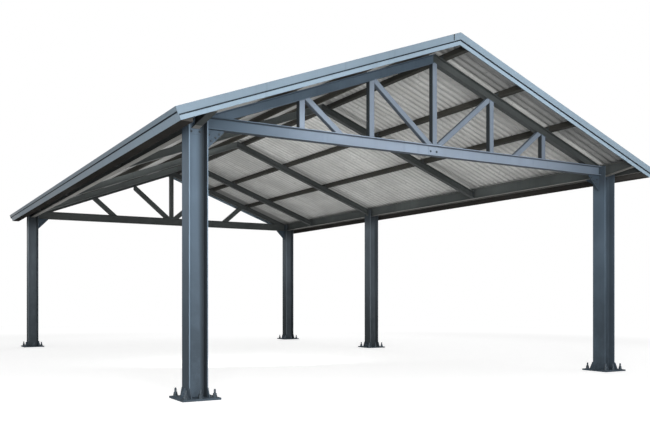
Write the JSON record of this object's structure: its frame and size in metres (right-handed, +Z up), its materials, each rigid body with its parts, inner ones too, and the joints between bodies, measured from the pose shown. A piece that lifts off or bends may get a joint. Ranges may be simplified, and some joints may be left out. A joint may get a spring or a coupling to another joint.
{
  "type": "carport",
  "caption": "Open gable-roof steel carport with H-section posts on bolted base plates, end trusses, purlins, corrugated roof sheets, stepped barge boards and eave gutters.",
  "frame": {"origin": "ground level at the middle of the plan", "axes": "+Z up, -Y towards the drive-in front, +X towards the side with three posts"},
  "size_m": [6.7602, 10.4, 4.0196],
  "materials": {
    "frame_paint": "satin blue-grey paint",
    "purlin_paint": "dull dark grey-brown primer",
    "flashing": "satin light blue-grey folded sheet",
    "roof_sheet": "weathered galvanised corrugated sheet"
  },
  "bodies": {
    "root": {"front_king_post": "frame_paint", "front_left_barge": "flashing", "front_left_base": "frame_paint", "front_left_chord": "frame_paint", "front_left_post": "frame_paint", "front_left_rafter": "frame_paint", "front_right_barge": "flashing", "front_right_base": "frame_paint", "front_right_chord": "frame_paint", "front_right_post": "frame_paint", "front_right_rafter": "frame_paint", "front_tie_beam": "frame_paint", "front_web_braces": "frame_paint", "front_web_posts": "frame_paint", "gutter_brackets": "frame_paint", "knee_plates": "frame_paint", "left_eave_beam": "frame_paint", "left_fascia": "frame_paint", "left_gutter": "flashing", "left_purlins": "purlin_paint", "left_roof_sheet": "roof_sheet", "middle_left_rafter": "frame_paint", "middle_right_base": "frame_paint", "middle_right_post": "frame_paint", "middle_right_rafter": "frame_paint", "rear_king_post": "frame_paint", "rear_left_barge": "flashing", "rear_left_base": "frame_paint", "rear_left_chord": "frame_paint", "rear_left_post": "frame_paint", "rear_left_rafter": "frame_paint", "rear_right_barge": "flashing", "rear_right_base": "frame_paint", "rear_right_chord": "frame_paint", "rear_right_post": "frame_paint", "rear_right_rafter": "frame_paint", "rear_tie_beam": "frame_paint", "rear_web_braces": "frame_paint", "ridge_cap": "flashing", "right_fascia": "frame_paint", "right_front_eave_beam": "frame_paint", "right_gutter": "flashing", "right_purlins": "purlin_paint", "right_rear_eave_beam": "frame_paint", "right_roof_sheet": "roof_sheet"}
  },
  "joints": []
}
